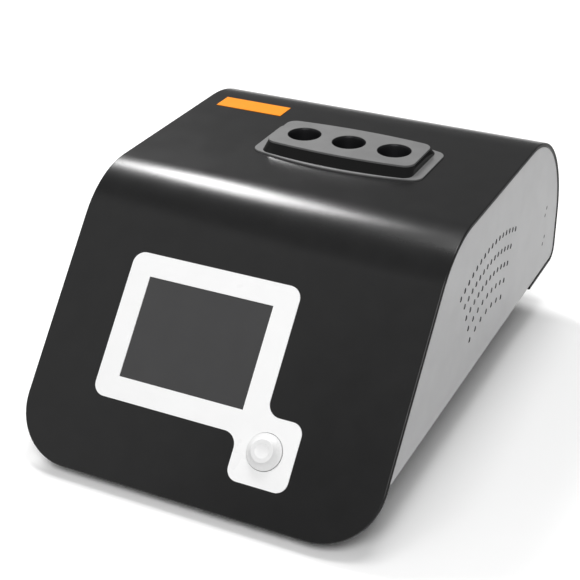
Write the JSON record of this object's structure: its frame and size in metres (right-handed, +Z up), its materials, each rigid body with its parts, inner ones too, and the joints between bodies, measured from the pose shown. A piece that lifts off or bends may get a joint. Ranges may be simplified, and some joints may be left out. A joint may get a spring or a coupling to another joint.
{
  "type": "melting point apparatus",
  "caption": "Bench melting point apparatus: a bent casing with a leaning front that carries a screen and push dial, and a sample head with wells over a heated block.",
  "frame": {"origin": "on the resting plane, under the middle of the overall width and depth", "axes": "+X to the user's right, +Y to the rear along the longest extent, +Z up"},
  "size_m": [0.29, 0.4244, 0.1892],
  "materials": {
    "casing_paint": "fine satin powder coat",
    "panel_paint": "light grey satin paint",
    "tray_paint": "dark satin paint",
    "plated_steel": "zinc plated",
    "foot_rubber": "matte",
    "surround_white": "smooth white",
    "screen_glass": "dark, glossy",
    "dark_plastic": "matte",
    "board_green": "solder mask",
    "dial_metal": "fine turned, satin",
    "dial_cap_metal": "polished",
    "head_grey": "grey satin paint",
    "head_black": "glossy black",
    "cup_metal": "dark anodised",
    "block_metal": "milled",
    "insulation_board": "fibrous board",
    "lens_glass": "coated",
    "lamp_clear": "clear moulded",
    "brass_parts": "plain",
    "inlet_plastic": "smooth black",
    "label_orange": "flat orange"
  },
  "bodies": {
    "housing": {"casing": "casing_paint", "side_panel_right": "panel_paint", "side_panel_left": "panel_paint", "rear_posts": "plated_steel", "side_screws": "plated_steel", "base_tray": "tray_paint", "feet": "foot_rubber", "foot_screws": "plated_steel", "return_screws": "plated_steel", "display_surround": "surround_white", "display_glass": "screen_glass", "display_module": "dark_plastic", "display_carrier": "plated_steel", "display_studs": "plated_steel", "display_nuts": "plated_steel", "control_spacers": "plated_steel", "control_board": "board_green", "encoder_body": "dark_plastic", "head_flange": "head_grey", "head_collar": "head_black", "head_plate": "head_grey", "well_cups": "cup_metal", "heating_block": "block_metal", "heater_base": "block_metal", "heaters": "plated_steel", "temperature_sensor": "plated_steel", "block_insulation": "insulation_board", "block_stand": "plated_steel", "camera_stand": "plated_steel", "camera_board": "board_green", "camera_barrel": "dark_plastic", "camera_lens": "lens_glass", "lamp_board": "board_green", "lamps": "lamp_clear", "board_standoffs": "brass_parts", "main_board": "board_green", "heat_sink": "block_metal", "board_capacitors": "dark_plastic", "power_supply": "plated_steel", "fan_frame": "dark_plastic", "mains_inlet": "inlet_plastic", "inlet_pins": "brass_parts", "rocker_frame": "inlet_plastic", "data_port": "plated_steel", "label_plate": "label_orange"},
    "dial_rotor": {"encoder_rotor": "dark_plastic"},
    "dial": {"dial_ring": "dial_metal", "dial_cap": "dial_cap_metal", "encoder_shaft": "plated_steel"},
    "rocker": {"rocker_button": "inlet_plastic"},
    "fan": {"fan_rotor": "dark_plastic"}
  },
  "joints": [
    {"name": "dial_turn", "type": "hinge", "parent": "housing", "child": "dial_rotor", "pos_m": [0.052, -0.1801, 0.04806], "axis": [0, -0.766, 0.6428], "continuous": true},
    {"name": "dial_press", "type": "slide", "parent": "dial_rotor", "child": "dial", "axis": [0, 0.766, -0.6428], "range_m": [0, 0.0005], "stiffness_N_per_m": 800, "springref_m": -0.0005},
    {"name": "rocker_tip", "type": "hinge", "parent": "housing", "child": "rocker", "pos_m": [-0.052, 0.20614, 0.0701], "axis": [1, 0, 0], "range_deg": [0, 18]},
    {"name": "fan_spin", "type": "hinge", "parent": "housing", "child": "fan", "pos_m": [0.046, 0.10038, 0.0134], "axis": [0, 0, 1], "continuous": true}
  ]
}
